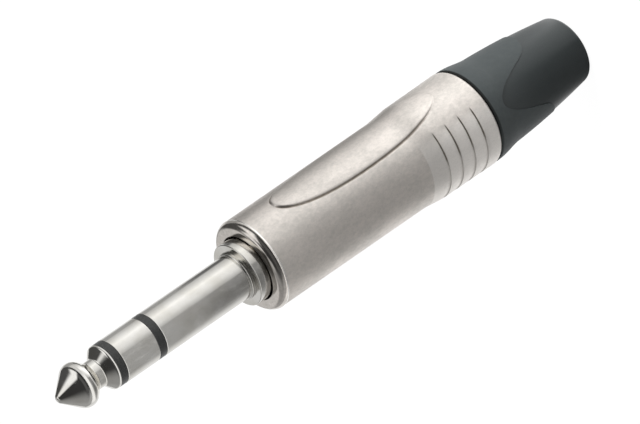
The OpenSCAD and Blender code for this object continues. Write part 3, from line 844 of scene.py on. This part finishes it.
def black_elastomer():
    """Smooth soft plastic: a low sheen, faint flow waves and a little dust."""
    made, start, feed = finish("black_elastomer", (0.024, 0.028, 0.028), 0.0, 0.3)
    waves = start.noise((0.5, 0.5, 0.35), 3.0)
    dust = start.noise((7.0, 7.0, 7.0), 3.0, 0.7)
    feed(Base_Color=dust.rise(0.52, 0.75).mix((0.027, 0.034, 0.035, 1), (0.042, 0.049, 0.049, 1)),
         Roughness=0.25 + 0.12 * waves + 0.06 * dust,
         Normal=start.bump(dust * 0.5 + waves * 0.5, 0.003))
    return made


gland = piece("gland_moulding", bm, black_elastomer(), "screw_bushing")
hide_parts("gland")

# The studio, in metres: the plug stands on white paper that runs far out, lit by two soft lamps.
# What the metal mirrors has tones of its own: the paper carries painted reflections that only mirrors see,
# and paper and room are bright on the right, where a tall lamp stands, and far off. They are dark towards
# the camera and on its left.
camera_side = -137.0
paper_r = 40.0
paper_z = -0.00005
paper_white = 0.95
paper_shade = 0.14
paper_plain = 0.80


def around(place):
    """Degrees round the axis from the camera's side, above 0 on its right."""
    x, y = place.parts()[:2]
    turn = math.radians(camera_side)
    forward = x * math.cos(turn) + y * math.sin(turn)
    across = y * math.cos(turn) - x * math.sin(turn)
    return across.angle(forward)


paper = bpy.data.materials.new("white_paper")
paper.use_nodes = True
tree = paper.node_tree
tree.nodes.clear()
start = Wire(tree)
place = start.add("TexCoord", output="Object")
side = around(place)
reach = place.add("VectorMath", {"operation": "LENGTH"}, {0: place}, 1)
painted_reflection_tones = ((-180, 1.0), (-140, 1.0), (-120, 0.74), (-98, 0.28), (-80, 0.13), (-62, 0.09), (-40, 0.09),
               (-14, 0.19), (2, 0.19), (5, 0.52), (28, 1.02), (50, 1.28), (64, 1.5), (80, 1.08),
               (97, 0.76), (108, 0.62), (115, 0.03), (137, 0.03), (148, 1.0))
tone = start.add("ValToRGB", {"stops": [(at / 360 + 0.5, grey) for at, grey in painted_reflection_tones]},
                 {0: side / 360 + 0.5})
# Painted reflection: the dark strip beyond the lamp starts a little way out, and further out all paper is
# dimmer in mirrors.
strip = side.rise(96, 108) * (1 - side.rise(138, 150))
tone = tone.toward(0.66, strip * (1 - reach.rise(0.034, 0.052)))
tone = tone * (1 - reach.rise(0.104, 0.116) * 0.22)
# Painted reflection: a thin light line lies 14 cm off, and no paper beyond it is quite dark in mirrors.
tone = tone.at_least(reach.rise(0.1385, 0.1395) * (1 - reach.rise(0.141, 0.143) * 0.5) * 0.56)
# Painted reflection: a light ring lies 3 to 5 cm off, seen only in mirrors, which the grip and the bushing
# mirror.
near = reach.rise(0.020, 0.028) * (1 - reach.rise(0.040, 0.058))
tone = tone.at_least(near * (0.55 + 0.34 * side.rise(-40, -4)))
tone = tone * (1 + near * side.rise(-10, 20) * 0.22)
# Painted reflection: from 20 cm off the paper is white up to the horizon in mirrors.
far = reach.rise(0.192, 0.212) * side.rise(-130, -110) * (1 - side.rise(84, 100))
tone = tone.toward(1.0 - 0.4 * side.rise(6, 46), far)
# Mirrors see these tones, the camera sees almost white, and matt pieces get light from plain paper.
path = start.add("LightPath")
in_mirror = path.other("Is Glossy Ray")
glow = in_mirror * tone + (1 - in_mirror) * paper_white
white = start.add("Emission", {}, {"Color": glow})
soft = start.add("BsdfDiffuse", {}, {"Color": (paper_shade, paper_shade, paper_shade, 1)})
both = start.add("AddShader", {}, {0: white, 1: soft})
plain = start.add("BsdfDiffuse", {}, {"Color": (paper_plain, paper_plain, paper_plain, 1)})
seen = path.other("Is Camera Ray").at_least(in_mirror.at_least(path.other("Is Transmission Ray")))
mixed = start.add("MixShader", {}, {0: seen, 1: plain, 2: both})
end = tree.nodes.new("ShaderNodeOutputMaterial")
tree.links.new(mixed.socket, end.inputs["Surface"])
bm = bmesh.new()
bmesh.ops.create_circle(bm, cap_ends=True, radius=paper_r, segments=96)
mesh = bpy.data.meshes.new("paper_floor")
bm.to_mesh(mesh)
bm.free()
mesh.materials.append(paper)
floor = bpy.data.objects.new("paper_floor", mesh)
floor.location = (0, 0, paper_z)
bpy.context.scene.collection.objects.link(floor)

# The room round the paper is dark behind the camera, grey on the left and lighter at the far end,
# with the tall lamp on the right and white over it. To the camera the background is white.
world = bpy.data.worlds.new("studio")
world.use_nodes = True
bpy.context.scene.world = world
tree = world.node_tree
tree.nodes.clear()
start = Wire(tree)
place = start.add("TexCoord", output="Generated")
height = place.parts()[2]
elevation = height.math("ARCSINE", height) * (180 / math.pi)
side = around(place)
left = side * -1
aside = abs(side)
# The lamp leans, so its edges move round as they go up. The ceiling over it is white.
lamp = (side - 58 + elevation * 0.35).rise(-8, 8) * (1 - (side - 106 + elevation * 0.4).rise(-13, 11))
lamp = lamp * (1 - elevation.rise(50, 66)) * elevation.rise(10, 17)
above = elevation.rise(46, 56) * side.rise(66, 86) * (1 - side.rise(140, 160))
# The walls in turn: all round, low on the left, the far end, high on the left, behind the camera.
wall = aside.rise(40, 110) * (0.04 + 0.24 * left.rise(-20, 20)) + 0.04
wall = wall.toward(0.42, (1 - elevation.rise(12, 26)) * left.rise(25, 90) * (1 - 0.4 * left.rise(110, 135)))
wall = wall.toward(0.66, aside.rise(148, 166) * elevation.rise(2, 10) * (1 - elevation.rise(42, 56)))
wall = wall.toward(0.5, elevation.rise(64, 74) * left.rise(30, 70))
wall = wall.toward(0.10, elevation.rise(14, 20) * (1 - elevation.rise(34, 44)) * (1 - aside.rise(40, 80)))
glow = wall.toward(1.1, lamp).toward(0.95, above)
glow = glow.toward(1.0, start.add("LightPath", output="Is Camera Ray"))
sky = start.add("Background", {}, {"Color": glow})
end = tree.nodes.new("ShaderNodeOutputWorld")
tree.links.new(sky.socket, end.inputs["Surface"])
middle = Vector((0, 0, 0.045))


def softbox(name, turn, rise, distance, size, watts):
    """A square lamp that faces the middle of the plug. Only matt surfaces get its light."""
    data = bpy.data.lights.new(name, "AREA")
    data.energy = watts
    data.size = size
    lamp = bpy.data.objects.new(name, data)
    bpy.context.scene.collection.objects.link(lamp)
    turn, rise = math.radians(camera_side + turn), math.radians(rise)
    way = Vector((math.cos(turn) * math.cos(rise), math.sin(turn) * math.cos(rise), math.sin(rise)))
    lamp.location = middle + way * distance
    lamp.rotation_euler = way.to_track_quat("Z", "Y").to_euler()
    lamp.visible_glossy = False


softbox("key_softbox", 66, 22, 0.9, 0.7, 8.0)
softbox("fill_softbox", -40, 55, 1.2, 1.0, 3.0)

# The camera looks down at 28 degrees from far off through a long lens, and is rolled so that the
# plug runs from the upper right of the picture to the lower left.
camera_place = (-0.42213, -0.39457, 0.35618)
camera_way = Vector((0.643764, 0.600309, -0.474549))
camera_roll = -124.61
data = bpy.data.cameras.new("camera")
data.lens = 285.86
data.sensor_width = 36.0
data.clip_start = 0.05
camera = bpy.data.objects.new("camera", data)
camera.location = camera_place
level = camera_way.to_track_quat("-Z", "Y").to_matrix()
camera.rotation_euler = (level @ Matrix.Rotation(math.radians(camera_roll), 3, "Z")).to_euler()
bpy.context.scene.collection.objects.link(camera)
bpy.context.scene.camera = camera

bpy.context.scene.view_settings.view_transform = "Standard"
